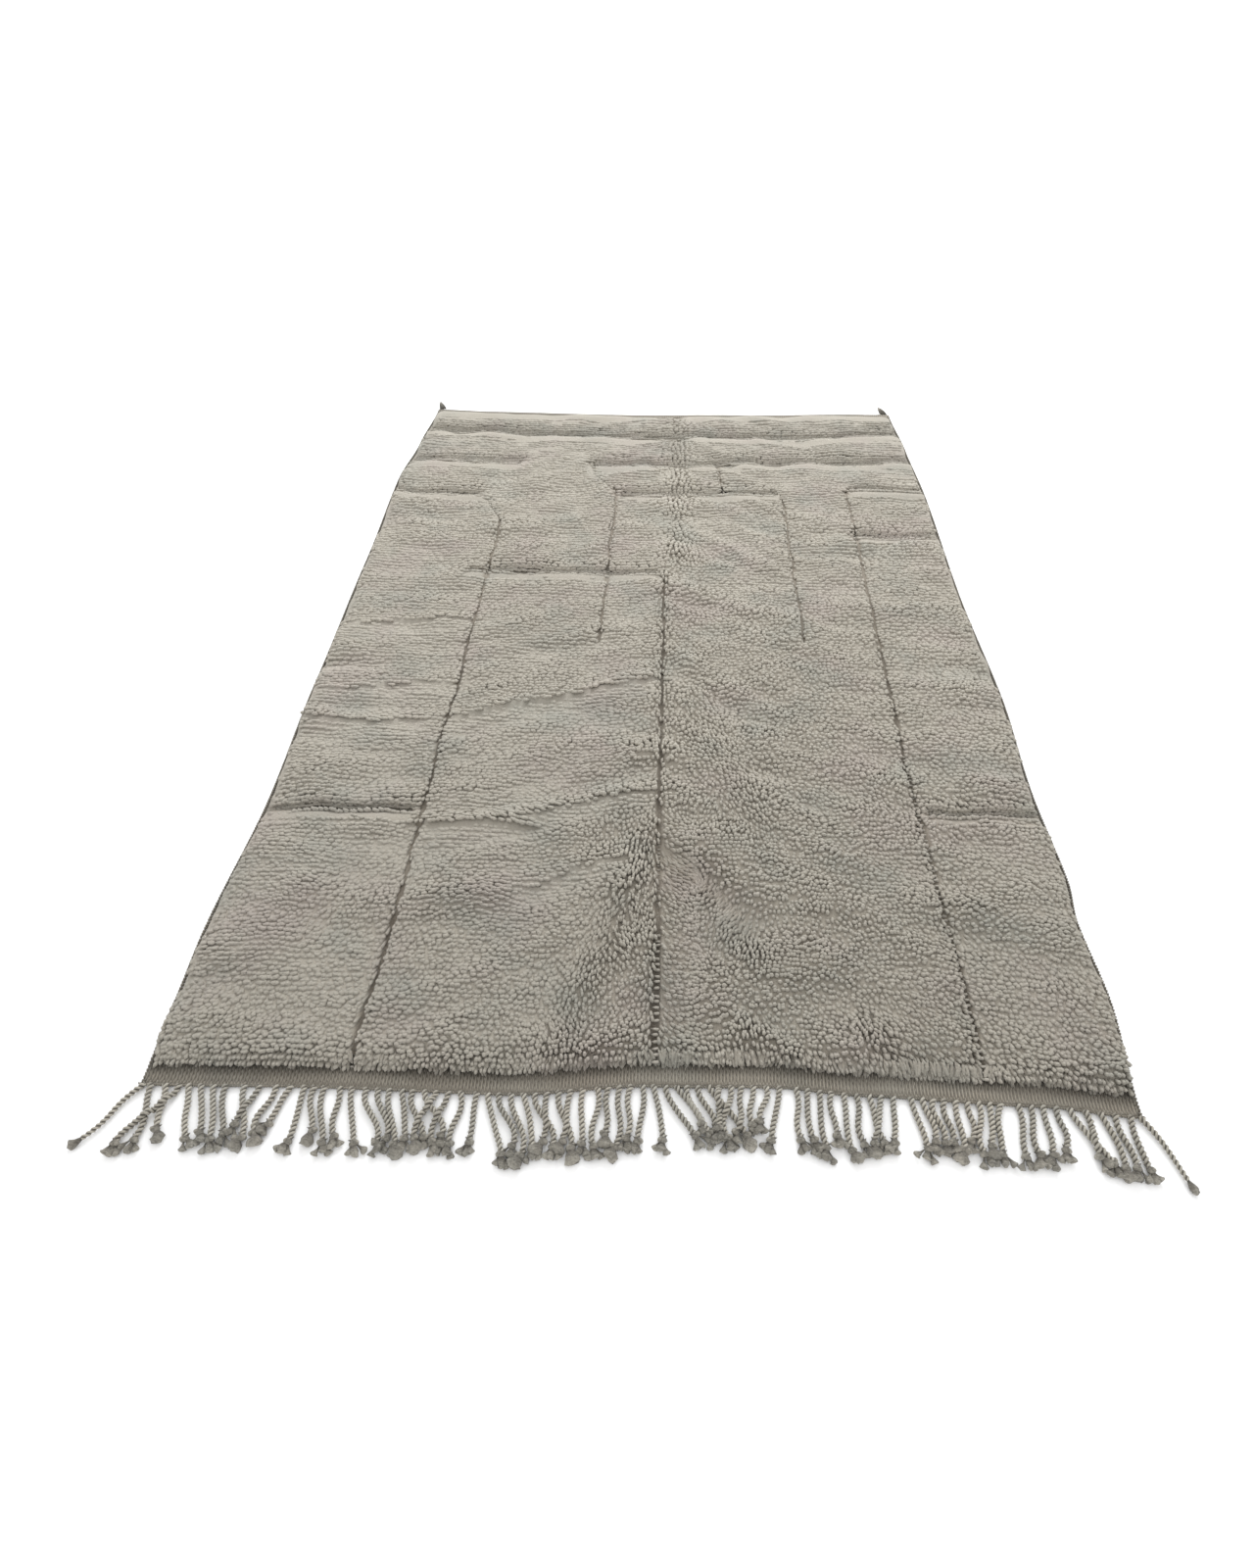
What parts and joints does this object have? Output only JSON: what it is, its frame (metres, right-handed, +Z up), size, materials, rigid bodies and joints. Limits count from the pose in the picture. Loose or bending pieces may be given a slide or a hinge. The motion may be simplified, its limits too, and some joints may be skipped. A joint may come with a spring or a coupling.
{
  "type": "beni ourain rug",
  "caption": "Hand-knotted cream wool rug, deep pile with recessed lines, flat-woven ends, twisted and knotted fringe at the near end, short tufts at the far corners.",
  "frame": {"origin": "on the underside, at the middle of the rug's width and of its length without the fringe", "axes": "+X across the width, +Y along the length from the fringed near end to the plain far end, +Z up out of the pile"},
  "size_m": [1.6928, 2.6654, 0.0306],
  "materials": {
    "pile_wool": "undyed cream wool, cut and brushed deep pile",
    "cord_wool": "undyed wool yarn, flat woven and twisted"
  },
  "bodies": {
    "root": {"rug": "pile_wool", "fringe": "cord_wool", "corner_tuft_left": "cord_wool", "corner_tuft_right": "cord_wool"}
  },
  "joints": []
}
